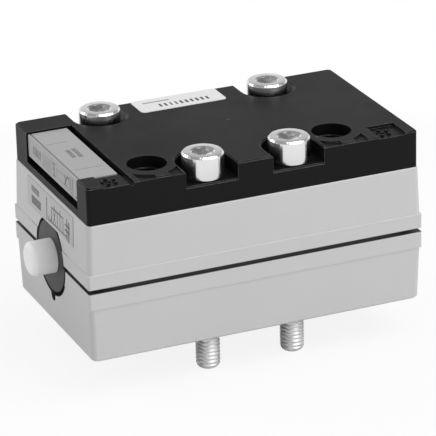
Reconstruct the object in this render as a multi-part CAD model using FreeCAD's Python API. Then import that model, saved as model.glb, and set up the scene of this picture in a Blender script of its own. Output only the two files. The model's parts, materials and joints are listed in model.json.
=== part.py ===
"""Directional control valve for a standard base plate: a spool valve in a split housing.

The frame has its origin at the centre of the flat base face. X runs along the spool,
with the hand button at the low end, Y runs across the valve from front to back, and Z
points up. All sizes are in millimetres.
"""
import FreeCAD, Part
import os
from math import cos, pi, sin, sqrt, tan

# outer housing
BODY_LENGTH = 70.0
BODY_WIDTH = 41.0
LOWER_HEIGHT = 14.3
PARTING_SEAL_THICK = 0.85
UPPER_HEIGHT = 12.75
COVER_HEIGHT = 7.6
LOWER_LIP_HEIGHT = 3.3
UPPER_LIP_HEIGHT = 2.9
LIP_RADIUS = 0.4
WALL_INSET = 0.13
DRAFT_INSET = 0.3
WALL_RADIUS = 1.1
BASE_CHAMFER = 0.4
COVER_INSET = 0.65
COVER_RADIUS = 0.8
COVER_CHAMFER = 0.3
COVER_TOP_WALL = 2.2
CORE_SIZE = 8.2
CORE_RIB = 1.5

# spool and its sleeve
PORT_PITCH = 8.0
WINDOW_WIDTH = 4.0
STROKE = 3.5
SPOOL_R = 4.9
SPOOL_BORE_R = 5.0
STEM_R = 2.8
SLEEVE_R = 7.9
SLEEVE_FIT = 0.05
SLOT_R = 1.7
CROSS_DRILLINGS = 3
FLOW_GROOVE_DEPTH = 0.7
END_OVERLAP = 1.2
LAND_HALF = 1.6
SLEEVE_LEAD = 0.4
PILOT_GAP = 1.3
RETURN_CLEARANCE = 1.2
BLIND_GAP = 1.0

# rings of round section
SPOOL_RING = 1.5
HOUSING_RING = 1.5
STEM_RING = 1.0
RING_SIDE_GAP = 0.1
RING_FIT = 0.02

# hand button and its plug
BUTTON_R = 3.45
BUTTON_FIT = 0.05
BUTTON_PROUD = 4.8
BUTTON_ROUND = 1.2
BUTTON_WALL = 1.0
BUTTON_FRONT = 1.5
BUTTON_SEAT_GAP = 0.2
BUTTON_STEM_R = 1.2
STEM_REACH = 1.4
TOUCH_GAP = 0.3
CLIP_THICK = 0.46
CLIP_FIT = 0.02
CLIP_R = 2.6
CLIP_SLOT = 1.2
CLIP_GROOVE_DEPTH = 0.35
PLUG_WEB = 2.5
PLUG_RECESS = 0.15
PLUG_LIP = 2.0
PLUG_FLANGE = 2.0
PLUG_FLANGE_R = 8.9
PLUG_FIT = 0.1
PLUG_AXIAL_FIT = 0.05
OPENING_SHIFT = 0.5
OPENING_LOWER_R = 8.35
OPENING_UPPER_R = 7.5
OPENING_TOP = 6.3
OPENING_LOWER_GAP = 0.85
OPENING_UPPER_GAP = 0.6
OPENING_TOP_GAP = 0.15
DRAIN_NOTCH_R = 1.15
DRAIN_NOTCH_REACH = 9.8

# blind plug at the spring end
END_WALL = 3.0
BLIND_FLOOR = 1.5
BLIND_POCKET_R = 4.4
NUB_R = 2.2
NUB_LENGTH = 1.5

# springs
RETURN_SPRING_R = 3.2
RETURN_WIRE = 0.7
RETURN_TURNS = 5
BUTTON_SPRING_R = 1.95
BUTTON_WIRE = 0.4
BUTTON_TURNS = 8
SPRING_SEAT = 0.02

# mounting screws
FRONT_SCREW_X = 9.0
REAR_SCREW_X = 18.1
SCREW_EDGE = 5.2
SCREW_HEAD_R = 4.2
SCREW_HEAD_HEIGHT = 5.0
SCREW_HEAD_CHAMFER = 0.3
SCREW_LENGTH = 40.0
SCREW_SHANK_R = 2.5
SCREW_THREAD_R = 2.3
SCREW_TIP_CHAMFER = 0.8
SCREW_HOLE_FIT = 0.25
HEX_ACROSS = 4.0
HEX_DEPTH = 2.5
WELL_R = 5.35
WELL_DEPTH = 3.25

# screws that hold the housing together
TIE_FRONT_X = 19.3
TIE_FRONT_EDGE = 8.1
TIE_REAR_EDGE = 5.5
TIE_HEAD_R = 3.0
TIE_HEAD_HEIGHT = 3.0
TIE_SHANK_R = 1.75
TIE_LENGTH = 18.5
TIE_HEX = 2.5
TIE_HEX_DEPTH = 1.4
TIE_HEAD_FIT = 0.5
TIE_HEAD_SINK = 1.8
TIE_FIT = 0.02
TIE_TIP_ROOM = 1.0
TIE_REAR_SEAT = 4.2
ACCESS_R = 3.95
ACCESS_STEP = 2.4

# ports in the base
PORT_WIDTH = 5.5
PORT_LENGTH = 8.0
PORT_EDGE = 14.0
PORT_ROOF = 11.0
SLOT_FLAT = 1e-4
PILOT_HOLE_R = 1.5
BASE_SEAL_THICK = 1.2
BASE_SEAL_END = 6.3
BASE_SEAL_SIDE = 1.9
BASE_SEAL_RADIUS = 3.0
SEAL_WINDOW_GAP = 0.25
SIDE_SEAL_INSET = 0.4
SIDE_SEAL_RADIUS = 6.0

# details of the cover's top
LABEL_LENGTH = 27.0
LABEL_SHIFT = -0.6
LABEL_TOP_WIDTH = 7.7
LABEL_END_GAP = 0.7
LABEL_THICK = 1.2
LABEL_SINK = 0.3
LABEL_SET_BACK = 0.3
LABEL_DROP = 4.8
LABEL_FIT = 0.3
LABEL_SHADOW_GAP = 1.4
FOLD_EDGE = 0.35
FOLD_GROOVE = 0.4
GROOVE_WIDTH = 0.8
GROOVE_DEPTH = 1.0
MARK_POCKET_WIDTH = 5.7
MARK_POCKET_LENGTH = 5.8
MARK_POCKET_DEPTH = 0.5
MARK_POCKET_INSET = 2.6
PAD_WIDTH = 3.4
RELIEF_DEPTH = 0.35
RELIEF_HALF = 4.5
RELIEF_LENGTH = 4.6
RELIEF_RING_R = 5.9
RELIEF_TONGUE = 2.8
RELIEF_TONGUE_SHIFT = 0.5

# stuck-on labels
STICKER_THICK = 0.12
TOP_STICKER_X = (-10.0, 8.3)
TOP_STICKER_WIDTH = 6.7
TOP_STICKER_RADIUS = 0.8
END_STICKER_HALF = 12.5
END_STICKER_TOP = 27.1
END_STICKER_GAP = 0.05

# how far a cutting tool runs past the face it cuts
PAST = 1.0

# places worked out from the sizes above
AXIS_Z = LOWER_HEIGHT + PARTING_SEAL_THICK / 2
UPPER_Z = LOWER_HEIGHT + PARTING_SEAL_THICK
COVER_Z = UPPER_Z + UPPER_HEIGHT
TOP_Z = COVER_Z + COVER_HEIGHT
WELL_Z = TOP_Z - WELL_DEPTH
HALF_L = BODY_LENGTH / 2
HALF_W = BODY_WIDTH / 2
COVER_HALF_L = HALF_L - COVER_INSET
COVER_HALF_W = HALF_W - COVER_INSET
BORE_R = SLEEVE_R + SLEEVE_FIT

SPOOL_RINGS = (-1.5 * PORT_PITCH - STROKE, -0.5 * PORT_PITCH, 0.5 * PORT_PITCH - STROKE, 1.5 * PORT_PITCH)
END_RING = 2 * PORT_PITCH + WINDOW_WIDTH / 2 + END_OVERLAP
SPOOL_LEFT = -END_RING - STROKE - LAND_HALF
SPOOL_RIGHT = END_RING + LAND_HALF
ALL_SPOOL_RINGS = (-END_RING - STROKE,) + SPOOL_RINGS + (END_RING,)
SLEEVE_LEFT = SPOOL_LEFT - SLEEVE_LEAD
SLEEVE_RIGHT = SPOOL_RIGHT + STROKE + RETURN_CLEARANCE
WINDOWS = [PORT_PITCH * i for i in range(-2, 3)]
SLEEVE_RINGS = [PORT_PITCH * (i - 2.5) for i in range(6)]
PLUG_INNER = SLEEVE_LEFT - PILOT_GAP
PLUG_FACE = -HALF_L + PLUG_RECESS
FLANGE_FRONT = -HALF_L + PLUG_LIP
FLANGE_BACK = FLANGE_FRONT + PLUG_FLANGE
BLIND_INNER = SLEEVE_RIGHT + BLIND_GAP
BLIND_OUTER = HALF_L - END_WALL
BLIND_SEAT = BLIND_OUTER - BLIND_FLOOR
BUTTON_FLOOR = PLUG_INNER - PLUG_WEB
BUTTON_TIP = -HALF_L - BUTTON_PROUD
BUTTON_SKIRT = BUTTON_FLOOR - BUTTON_SEAT_GAP - STROKE
BUTTON_POCKET = BUTTON_TIP + BUTTON_FRONT
STEM_END = SPOOL_LEFT - TOUCH_GAP
CLIP_LEFT = PLUG_INNER + TOUCH_GAP
STEM_RING_X = PLUG_INNER - PLUG_WEB / 2
PLUG_RING_X = (FLANGE_BACK + PLUG_INNER) / 2
BLIND_RING_X = (BLIND_INNER + BLIND_OUTER) / 2
SCREW_HOLE_R = SCREW_SHANK_R + SCREW_HOLE_FIT
TIE_SEAT = COVER_Z - TIE_HEAD_SINK - TIE_HEAD_HEIGHT
TIE_BORE_R = TIE_HEAD_R + TIE_HEAD_FIT
PILOT_LEFT_X = (PLUG_INNER + SLEEVE_LEFT) / 2
PILOT_RIGHT_X = (SLEEVE_RIGHT + BLIND_INNER) / 2
LABEL_FRONT = LABEL_SHIFT - LABEL_LENGTH / 2
LABEL_BACK = LABEL_SHIFT + LABEL_LENGTH / 2
LABEL_RIGHT = -COVER_HALF_L + LABEL_END_GAP + LABEL_TOP_WIDTH
GROOVE_RIGHT = LABEL_RIGHT + LABEL_FIT + GROOVE_WIDTH
SCREW_Y = HALF_W - SCREW_EDGE
PORT_OFFSET = HALF_W - PORT_EDGE

SCREWS = [(-FRONT_SCREW_X, -SCREW_Y, -1), (FRONT_SCREW_X, -SCREW_Y, -1)]
SCREWS += [(-REAR_SCREW_X, SCREW_Y, 1), (REAR_SCREW_X, SCREW_Y, 1)]
FRONT_TIES = [(-TIE_FRONT_X, TIE_FRONT_EDGE - HALF_W), (TIE_FRONT_X, TIE_FRONT_EDGE - HALF_W)]
REAR_TIE = (0.0, HALF_W - TIE_REAR_EDGE)
PORTS = [(x, -PORT_OFFSET if i % 2 == 0 else PORT_OFFSET) for i, x in enumerate(WINDOWS)]
PILOTS = (PILOT_LEFT_X, PILOT_RIGHT_X)


def box(x0, x1, y0, y1, z0, z1):
    """A block between two corners."""
    return Part.makeBox(x1 - x0, y1 - y0, z1 - z0, FreeCAD.Vector(x0, y0, z0))


def cyl_x(radius, x0, x1):
    """A cylinder along the spool's axis."""
    return Part.makeCylinder(radius, x1 - x0, FreeCAD.Vector(x0, 0, AXIS_Z), FreeCAD.Vector(1, 0, 0))


def cyl_z(radius, x, y, z0, z1):
    """An upright cylinder."""
    return Part.makeCylinder(radius, z1 - z0, FreeCAD.Vector(x, y, z0))


def ring_x(section, centre_r, x):
    """A ring of round section about the spool's axis."""
    return Part.makeTorus(centre_r, section / 2, FreeCAD.Vector(x, 0, AXIS_Z), FreeCAD.Vector(1, 0, 0))


def rounded_wire(x0, x1, y0, y1, radius, z):
    """A level rectangle with round corners."""
    r = radius
    corners = [(x1 - r, y0 + r, -90), (x1 - r, y1 - r, 0), (x0 + r, y1 - r, 90), (x0 + r, y0 + r, 180)]
    arcs = []
    for cx, cy, start in corners:
        pts = []
        for step in (0, 45, 90):
            a = (start + step) * pi / 180
            pts.append(FreeCAD.Vector(cx + r * cos(a), cy + r * sin(a), z))
        arcs.append(pts)
    edges = []
    for i, pts in enumerate(arcs):
        edges.append(Part.Arc(*pts).toShape())
        edges.append(Part.makeLine(pts[2], arcs[(i + 1) % 4][0]))
    return Part.Wire(edges)


def plate(x0, x1, y0, y1, radius, z0, z1):
    """An upright plate with round corners."""
    face = Part.Face(rounded_wire(x0, x1, y0, y1, radius, z0))
    return face.extrude(FreeCAD.Vector(0, 0, z1 - z0))


def stacked(half_l, half_w, sections):
    """A body of round-cornered sections, each given as height, inset and corner radius."""
    body = None
    for (z0, in0, r0), (z1, in1, r1) in zip(sections, sections[1:]):
        wires = [
            rounded_wire(in0 - half_l, half_l - in0, in0 - half_w, half_w - in0, r0, z0),
            rounded_wire(in1 - half_l, half_l - in1, in1 - half_w, half_w - in1, r1, z1),
        ]
        layer = Part.makeLoft(wires, True, True)
        body = layer if body is None else body.fuse(layer)
    return body.removeSplitter()


def slot_z(x, y, width, length, z0, z1):
    """An upright slot with round ends that runs along Y."""
    return plate(x - width / 2, x + width / 2, y - length / 2, y + length / 2, width / 2 - SLOT_FLAT, z0, z1)


def fused(shapes):
    """One solid from several that touch or overlap."""
    first = shapes[0]
    return first.fuse(shapes[1:]).removeSplitter() if len(shapes) > 1 else first


def cut(shape, tools):
    """The shape without the tools."""
    return shape.cut(tools) if tools else shape


def clear_of(cx, cy, half, keep_out):
    """Whether a square cell stays outside every kept place, given as corner and corner."""
    for x0, x1, y0, y1 in keep_out:
        if cx + half > x0 and cx - half < x1 and cy + half > y0 and cy - half < y1:
            return False
    return True


def core_cells(x0, x1, y0, y1, z0, z1, keep_out):
    """Square pockets with ribs between them, wherever they miss the kept places."""
    pitch = CORE_SIZE + CORE_RIB
    cols = int((x1 - x0 + CORE_RIB) / pitch)
    rows = int((y1 - y0 + CORE_RIB) / pitch)
    half = CORE_SIZE / 2
    mid_x, mid_y = (x0 + x1) / 2, (y0 + y1) / 2
    cells = []
    for i in range(cols):
        for j in range(rows):
            cx = mid_x + (i - (cols - 1) / 2) * pitch
            cy = mid_y + (j - (rows - 1) / 2) * pitch
            if clear_of(cx, cy, half, keep_out):
                cells.append(box(cx - half, cx + half, cy - half, cy + half, z0, z1))
    return cells


def around(x, y, reach):
    """A kept square place about a point."""
    return (x - reach, x + reach, y - reach, y + reach)


def bore_tools():
    """What both housing halves are hollowed by for the sleeve and its two plugs."""
    return [
        cyl_x(BORE_R, FLANGE_BACK, BLIND_OUTER + PLUG_AXIAL_FIT),
        cyl_x(PLUG_FLANGE_R + PLUG_FIT, FLANGE_FRONT - PLUG_AXIAL_FIT, FLANGE_BACK + PLUG_AXIAL_FIT),
    ]


def through_holes(z0, z1):
    """Clearance holes for the four mounting screws."""
    return [cyl_z(SCREW_HOLE_R, x, y, z0, z1) for x, y, _ in SCREWS]


def opening_x(radius, x0, x1):
    """A cylinder along the end opening's own axis, which lies beside the spool's."""
    start = FreeCAD.Vector(x0, OPENING_SHIFT, AXIS_Z)
    return Part.makeCylinder(radius, x1 - x0, start, FreeCAD.Vector(1, 0, 0))


def drain_notch():
    """A small notch with a round bottom below the end opening."""
    x0, x1 = -HALF_L - PAST, FLANGE_FRONT - PLUG_AXIAL_FIT
    r, y = DRAIN_NOTCH_R, OPENING_SHIFT
    centre = AXIS_Z - DRAIN_NOTCH_REACH + r
    bottom = Part.makeCylinder(r, x1 - x0, FreeCAD.Vector(x0, y, centre), FreeCAD.Vector(1, 0, 0))
    return bottom.fuse(box(x0, x1, y - r, y + r, centre, AXIS_Z - OPENING_LOWER_R + r))


def base_seal_outline(gap, z0, z1):
    """The moulded seal's outer form, made larger by a gap for its recess."""
    reach_x = HALF_L - BASE_SEAL_END + gap
    reach_y = HALF_W - BASE_SEAL_SIDE + gap
    return plate(-reach_x, reach_x, -reach_y, reach_y, BASE_SEAL_RADIUS + gap, z0, z1)


def lower_housing():
    """The lower shell: ports up from the base, half of the bore, and the tapped tie holes."""
    lip_z = LOWER_HEIGHT - LOWER_LIP_HEIGHT
    foot = WALL_INSET + DRAFT_INSET
    sections = [(0, foot + BASE_CHAMFER, WALL_RADIUS), (BASE_CHAMFER, foot, WALL_RADIUS)]
    sections += [(lip_z, WALL_INSET, WALL_RADIUS)]
    wall = stacked(HALF_L, HALF_W, sections)
    lip = plate(-HALF_L, HALF_L, -HALF_W, HALF_W, LIP_RADIUS, lip_z, LOWER_HEIGHT)
    tools = bore_tools() + through_holes(-PAST, LOWER_HEIGHT + PAST)
    tools += [opening_x(OPENING_LOWER_R, -HALF_L - PAST, FLANGE_FRONT), drain_notch()]
    tools += [slot_z(x, y, PORT_WIDTH, PORT_LENGTH, -PAST, PORT_ROOF) for x, y in PORTS]
    tools += [cyl_z(PILOT_HOLE_R, x, 0, -PAST, AXIS_Z - BORE_R / 2) for x in PILOTS]
    tie_r = TIE_SHANK_R + TIE_FIT
    tie_low = TIE_SEAT - TIE_LENGTH - TIE_TIP_ROOM
    tools += [cyl_z(tie_r, x, y, tie_low, LOWER_HEIGHT + PAST) for x, y in FRONT_TIES]
    tools += [cyl_z(TIE_SHANK_R + SCREW_HOLE_FIT, *REAR_TIE, -PAST, LOWER_HEIGHT + PAST)]
    tools += [cyl_z(TIE_BORE_R, *REAR_TIE, -PAST, TIE_REAR_SEAT)]
    tools += [base_seal_outline(SEAL_WINDOW_GAP, -PAST, BASE_SEAL_THICK)]
    return cut(fused([wall, lip]), tools)


def upper_housing():
    """The upper shell: the other half of the bore, with counterbores for the front tie screws."""
    lip_z = UPPER_Z + UPPER_LIP_HEIGHT
    head = WALL_INSET + DRAFT_INSET
    sections = [(lip_z, WALL_INSET, WALL_RADIUS), (COVER_Z - BASE_CHAMFER / 2, head, WALL_RADIUS)]
    sections += [(COVER_Z, head + BASE_CHAMFER / 2, WALL_RADIUS)]
    wall = stacked(HALF_L, HALF_W, sections)
    lip = plate(-HALF_L, HALF_L, -HALF_W, HALF_W, LIP_RADIUS, UPPER_Z, lip_z)
    front = -HALF_L - PAST
    opening = opening_x(OPENING_UPPER_R, front, FLANGE_FRONT)
    opening = opening.common(box(front, 0, -HALF_W, HALF_W, 0, AXIS_Z + OPENING_TOP))
    tools = bore_tools() + through_holes(UPPER_Z - PAST, COVER_Z + PAST) + [opening]
    for x, y in FRONT_TIES:
        tools += [cyl_z(TIE_SHANK_R + SCREW_HOLE_FIT, x, y, UPPER_Z - PAST, COVER_Z + PAST)]
        tools += [cyl_z(TIE_BORE_R, x, y, TIE_SEAT, COVER_Z + PAST)]
    tie_top = TIE_REAR_SEAT + TIE_LENGTH + TIE_TIP_ROOM
    tools += [cyl_z(TIE_SHANK_R + TIE_FIT, *REAR_TIE, UPPER_Z - PAST, tie_top)]
    return cut(fused([wall, lip]), tools)


def housing_seal():
    """The flat gasket between the shells, cut away for the bore, the plug and the screws."""
    inset = SIDE_SEAL_INSET
    body = plate(inset - HALF_L, HALF_L - inset, inset - HALF_W, HALF_W - inset,
                 SIDE_SEAL_RADIUS, LOWER_HEIGHT, UPPER_Z)
    gaps = [
        (-HALF_L - PAST, FLANGE_FRONT, OPENING_SHIFT, OPENING_LOWER_R),
        (FLANGE_FRONT - PLUG_FIT, FLANGE_BACK + PLUG_FIT, 0, PLUG_FLANGE_R),
        (FLANGE_BACK, BLIND_OUTER, 0, BORE_R),
    ]
    low, high, fit = LOWER_HEIGHT - PAST, UPPER_Z + PAST, PLUG_FIT
    tools = [box(x0, x1 + fit, y - r - fit, y + r + fit, low, high) for x0, x1, y, r in gaps]
    tools += through_holes(low, high)
    tools += [cyl_z(TIE_SHANK_R + SCREW_HOLE_FIT, x, y, low, high) for x, y in FRONT_TIES + [REAR_TIE]]
    return cut(body, tools)


def base_seal():
    """The moulded port seal, flush in the base, with a window round each port and screw."""
    gap = SEAL_WINDOW_GAP
    low, high = -PAST, BASE_SEAL_THICK + PAST
    tools = [slot_z(x, y, PORT_WIDTH + 2 * gap, PORT_LENGTH + 2 * gap, low, high) for x, y in PORTS]
    tools += [cyl_z(PILOT_HOLE_R + gap, x, 0, low, high) for x in PILOTS]
    tools += [cyl_z(SCREW_HOLE_R + gap, x, y, low, high) for x, y, _ in SCREWS]
    tools += [cyl_z(TIE_BORE_R + gap, *REAR_TIE, low, high)]
    return cut(base_seal_outline(0, 0, BASE_SEAL_THICK), tools)


def well_tool(x, y, side):
    """The U-shaped well of one mounting screw, open to the near long edge, with a broken top edge."""
    edge = side * (COVER_HALF_W + PAST)
    y0, y1 = sorted((y, edge))
    c = COVER_CHAMFER
    high = TOP_Z + PAST
    tools = [cyl_z(WELL_R, x, y, WELL_Z, high), box(x - WELL_R, x + WELL_R, y0, y1, WELL_Z, high)]
    tools += [Part.makeCone(WELL_R, WELL_R + c, c, FreeCAD.Vector(x, y, TOP_Z - c))]
    pts = [(x - WELL_R, TOP_Z - c), (x + WELL_R, TOP_Z - c), (x + WELL_R + c, TOP_Z), (x - WELL_R - c, TOP_Z)]
    wire = Part.makePolygon([FreeCAD.Vector(px, y0, pz) for px, pz in pts + pts[:1]])
    tools += [Part.Face(wire).extrude(FreeCAD.Vector(0, y1 - y0, 0))]
    face_y = side * COVER_HALF_W
    pts = [(face_y + side * c, WELL_Z + c), (face_y + side * c, WELL_Z - c), (face_y, WELL_Z - c)]
    pts += [(face_y - side * c, WELL_Z), (face_y - side * c, WELL_Z + c)]
    wire = Part.makePolygon([FreeCAD.Vector(x - WELL_R, py, pz) for py, pz in pts + pts[:1]])
    tools += [Part.Face(wire).extrude(FreeCAD.Vector(2 * WELL_R, 0, 0))]
    return tools


def relief_tool(x, y):
    """The shallow relief in front of an access hole, which leaves a ring round the hole."""
    front = -COVER_HALF_W - PAST
    back = -COVER_HALF_W + RELIEF_LENGTH
    low = TOP_Z - RELIEF_DEPTH
    area = box(x - RELIEF_HALF, x + RELIEF_HALF, front, back, low, TOP_Z + PAST)
    under, over = low - PAST, TOP_Z + 2 * PAST
    ring = cyl_z(RELIEF_RING_R, x, y, under, over)
    mid, half = x + RELIEF_TONGUE_SHIFT, RELIEF_TONGUE / 2
    tongue = box(mid - half, mid + half, front - PAST, y, under, over)
    return area.cut([ring, tongue])


def label_room():
    """Space in the cover for the bent label carrier, with the shadow gap below and beside it."""
    left = -COVER_HALF_L - PAST
    y0, y1 = LABEL_FRONT - LABEL_FIT, LABEL_BACK + LABEL_FIT
    top_floor = TOP_Z - LABEL_SINK - LABEL_THICK
    leg_low = TOP_Z - LABEL_DROP - LABEL_SHADOW_GAP
    leg_x = -COVER_HALF_L + LABEL_SET_BACK + LABEL_THICK + LABEL_FIT
    return [
        box(left, LABEL_RIGHT + LABEL_FIT, y0, y1, top_floor, TOP_Z + PAST),
        box(left, leg_x, y0, y1, leg_low, TOP_Z + PAST),
        box(LABEL_RIGHT, GROOVE_RIGHT, y0, y1, top_floor - GROOVE_DEPTH, TOP_Z + PAST),
    ]


def mark_pockets():
    """The two shallow pockets for mould marks in the front corners of the top."""
    front, back = -COVER_HALF_W - PAST, -COVER_HALF_W + MARK_POCKET_LENGTH
    low = TOP_Z - MARK_POCKET_DEPTH
    right = COVER_HALF_L - MARK_POCKET_INSET
    left = -COVER_HALF_L + PAD_WIDTH
    return [
        box(right - MARK_POCKET_WIDTH, right, front, back, low, TOP_Z + PAST),
        box(left, GROOVE_RIGHT, front, LABEL_FRONT - LABEL_FIT, low, TOP_Z + PAST),
        box(GROOVE_RIGHT - GROOVE_WIDTH, GROOVE_RIGHT, front, LABEL_FRONT, low - RELIEF_DEPTH, TOP_Z + PAST),
    ]


def cover():
    """The moulded cover with its screw wells, access holes, label frame and ribbed underside."""
    inner = COVER_CHAMFER
    sections = [(COVER_Z, 0, COVER_RADIUS), (TOP_Z - inner, 0, COVER_RADIUS), (TOP_Z, inner, COVER_RADIUS)]
    body = stacked(COVER_HALF_L, COVER_HALF_W, sections)
    tools = through_holes(COVER_Z - PAST, TOP_Z + PAST)
    for x, y, side in SCREWS:
        tools += well_tool(x, y, side)
    for x, y in FRONT_TIES:
        tools += [cyl_z(ACCESS_R, x, y, TOP_Z - ACCESS_STEP, TOP_Z + PAST)]
        tools += [cyl_z(TIE_BORE_R, x, y, COVER_Z - PAST, TOP_Z), relief_tool(x, y)]
    tools += label_room() + mark_pockets()
    wall = CORE_RIB + COVER_CHAMFER
    keep = [around(x, y, WELL_R + wall) for x, y, _ in SCREWS]
    keep += [around(x, y, ACCESS_R + wall) for x, y in FRONT_TIES]
    roof = TOP_Z - COVER_TOP_WALL
    reach_x, reach_y = COVER_HALF_L - wall, COVER_HALF_W - wall
    tools += core_cells(GROOVE_RIGHT + wall, reach_x, -reach_y, reach_y, COVER_Z - PAST, roof, keep)
    return cut(body, tools)


def label_insert():
    """The bent carrier: a flat on top, a grooved fold and a leg down over the end."""
    x0 = -COVER_HALF_L + LABEL_SET_BACK
    low, top = TOP_Z - LABEL_DROP, TOP_Z - LABEL_SINK
    under, inner, fold = top - LABEL_THICK, x0 + LABEL_THICK, x0 + FOLD_EDGE
    pts = [(x0, low), (inner, low), (inner, under), (LABEL_RIGHT, under), (LABEL_RIGHT, top)]
    pts += [(fold + FOLD_GROOVE, top), (fold + FOLD_GROOVE / 2, top - FOLD_GROOVE), (fold, top)]
    pts += [(x0 + FOLD_EDGE / 2, top), (x0, top - FOLD_EDGE / 2)]
    wire = Part.makePolygon([FreeCAD.Vector(x, LABEL_FRONT, z) for x, z in pts + pts[:1]])
    return Part.Face(wire).extrude(FreeCAD.Vector(0, LABEL_LENGTH, 0))


def top_label():
    """A thin sticker at the top's back edge."""
    x0, x1 = TOP_STICKER_X
    back = COVER_HALF_W - COVER_CHAMFER
    return plate(x0, x1, back - TOP_STICKER_WIDTH, back, TOP_STICKER_RADIUS, TOP_Z, TOP_Z + STICKER_THICK)


def wall_x(z):
    """The drafted end face of the upper shell at a height, above its lip."""
    z0 = UPPER_Z + UPPER_LIP_HEIGHT
    z1 = COVER_Z - BASE_CHAMFER / 2
    return -HALF_L + WALL_INSET + DRAFT_INSET * (z - z0) / (z1 - z0)


def end_label():
    """A thin sticker on the upper shell's end face, just above the end opening."""
    z0, z1 = AXIS_Z + OPENING_TOP + END_STICKER_GAP, END_STICKER_TOP
    pts = [(wall_x(z0), z0), (wall_x(z1), z1), (wall_x(z1) - STICKER_THICK, z1)]
    pts += [(wall_x(z0) - STICKER_THICK, z0)]
    wire = Part.makePolygon([FreeCAD.Vector(x, -END_STICKER_HALF, z) for x, z in pts + pts[:1]])
    return Part.Face(wire).extrude(FreeCAD.Vector(0, 2 * END_STICKER_HALF, 0))


def hex_socket(across, depth, x, y, top):
    """A hexagonal socket with a drill point, to be cut downwards from a height."""
    corner = across / sqrt(3)
    angles = [i * pi / 3 for i in range(6)]
    pts = [FreeCAD.Vector(x + corner * cos(a), y + corner * sin(a), top) for a in angles]
    prism = Part.Face(Part.makePolygon(pts + pts[:1])).extrude(FreeCAD.Vector(0, 0, -depth))
    point = across / 2 * tan(pi / 6)
    cone = Part.makeCone(0, across / 2, point, FreeCAD.Vector(x, y, top - depth - point))
    return prism.fuse(cone)


def mounting_screw(x, y):
    """A socket head screw seated on its well's floor, whose thread stands out below the base."""
    c, head_top = SCREW_HEAD_CHAMFER, WELL_Z + SCREW_HEAD_HEIGHT
    tip = WELL_Z - SCREW_LENGTH
    t = SCREW_TIP_CHAMFER
    pieces = [
        cyl_z(SCREW_HEAD_R, x, y, WELL_Z, head_top - c),
        Part.makeCone(SCREW_HEAD_R, SCREW_HEAD_R - c, c, FreeCAD.Vector(x, y, head_top - c)),
        cyl_z(SCREW_SHANK_R, x, y, 0, WELL_Z),
        cyl_z(SCREW_THREAD_R, x, y, tip + t, 0),
        Part.makeCone(SCREW_THREAD_R - t, SCREW_THREAD_R, t, FreeCAD.Vector(x, y, tip)),
    ]
    return fused(pieces).cut(hex_socket(HEX_ACROSS, HEX_DEPTH, x, y, head_top))


def mounting_screws():
    """The four long screws that hold the valve to its base plate."""
    return Part.makeCompound([mounting_screw(x, y) for x, y, _ in SCREWS])


def tie_screw(x, y, seat):
    """A small socket head screw with its head upwards."""
    head = cyl_z(TIE_HEAD_R, x, y, seat, seat + TIE_HEAD_HEIGHT)
    shank = cyl_z(TIE_SHANK_R, x, y, seat - TIE_LENGTH, seat)
    return fused([head, shank]).cut(hex_socket(TIE_HEX, TIE_HEX_DEPTH, x, y, seat + TIE_HEAD_HEIGHT))


def tie_screws():
    """Two screws down through the access holes and one up from the base."""
    screws = [tie_screw(x, y, TIE_SEAT) for x, y in FRONT_TIES]
    rear = tie_screw(*REAR_TIE, TIE_REAR_SEAT)
    rear.rotate(FreeCAD.Vector(*REAR_TIE, TIE_REAR_SEAT), FreeCAD.Vector(1, 0, 0), 180)
    return Part.makeCompound(screws + [rear])


def sleeve():
    """The ported tube that the spool slides in, with ring grooves between its windows."""
    body = cyl_x(SLEEVE_R, SLEEVE_LEFT, SLEEVE_RIGHT)
    half = WINDOW_WIDTH / 2
    tools = [cyl_x(SPOOL_BORE_R, SLEEVE_LEFT - PAST, SLEEVE_RIGHT + PAST)]
    for x in WINDOWS:
        flow_floor = cyl_x(SLEEVE_R - FLOW_GROOVE_DEPTH, x - half, x + half)
        tools += [cyl_x(SLEEVE_R + PAST, x - half, x + half).cut(flow_floor)]
        for i in range(CROSS_DRILLINGS):
            a = i * pi / CROSS_DRILLINGS + pi / 2
            way = FreeCAD.Vector(0, cos(a), sin(a))
            start = FreeCAD.Vector(x, 0, AXIS_Z) - way * (SLEEVE_R + PAST)
            tools += [Part.makeCylinder(SLOT_R, 2 * (SLEEVE_R + PAST), start, way)]
    tools += [outer_groove(x, SLEEVE_R, HOUSING_RING) for x in SLEEVE_RINGS]
    return cut(body, tools)


def outer_groove(x, outer_r, section):
    """A groove in a round piece for a ring that seals on the housing's bore."""
    half = section / 2 + RING_SIDE_GAP
    floor = BORE_R - section - 2 * RING_FIT
    return cyl_x(outer_r + PAST, x - half, x + half).cut(cyl_x(floor, x - half, x + half))


def housing_ring(x):
    """A ring that lies in an outer groove and meets the housing's bore."""
    return ring_x(HOUSING_RING, BORE_R - RING_FIT - HOUSING_RING / 2, x)


def sleeve_seals():
    """The rings between the sleeve's windows."""
    return Part.makeCompound([housing_ring(x) for x in SLEEVE_RINGS])


def spool_groove(x):
    """A groove in the spool for one of its rings."""
    half = SPOOL_RING / 2 + RING_SIDE_GAP
    floor = SPOOL_R - SPOOL_RING
    return cyl_x(SPOOL_R + PAST, x - half, x + half).cut(cyl_x(floor, x - half, x + half))


def spool():
    """The spool: a land at each ring on a thin stem, and a nub that centres the spring."""
    pieces = [cyl_x(STEM_R, SPOOL_LEFT, SPOOL_RIGHT), cyl_x(NUB_R, SPOOL_RIGHT, SPOOL_RIGHT + NUB_LENGTH)]
    pieces += [cyl_x(SPOOL_R, x - LAND_HALF, x + LAND_HALF) for x in ALL_SPOOL_RINGS]
    return cut(fused(pieces), [spool_groove(x) for x in ALL_SPOOL_RINGS])


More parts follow.
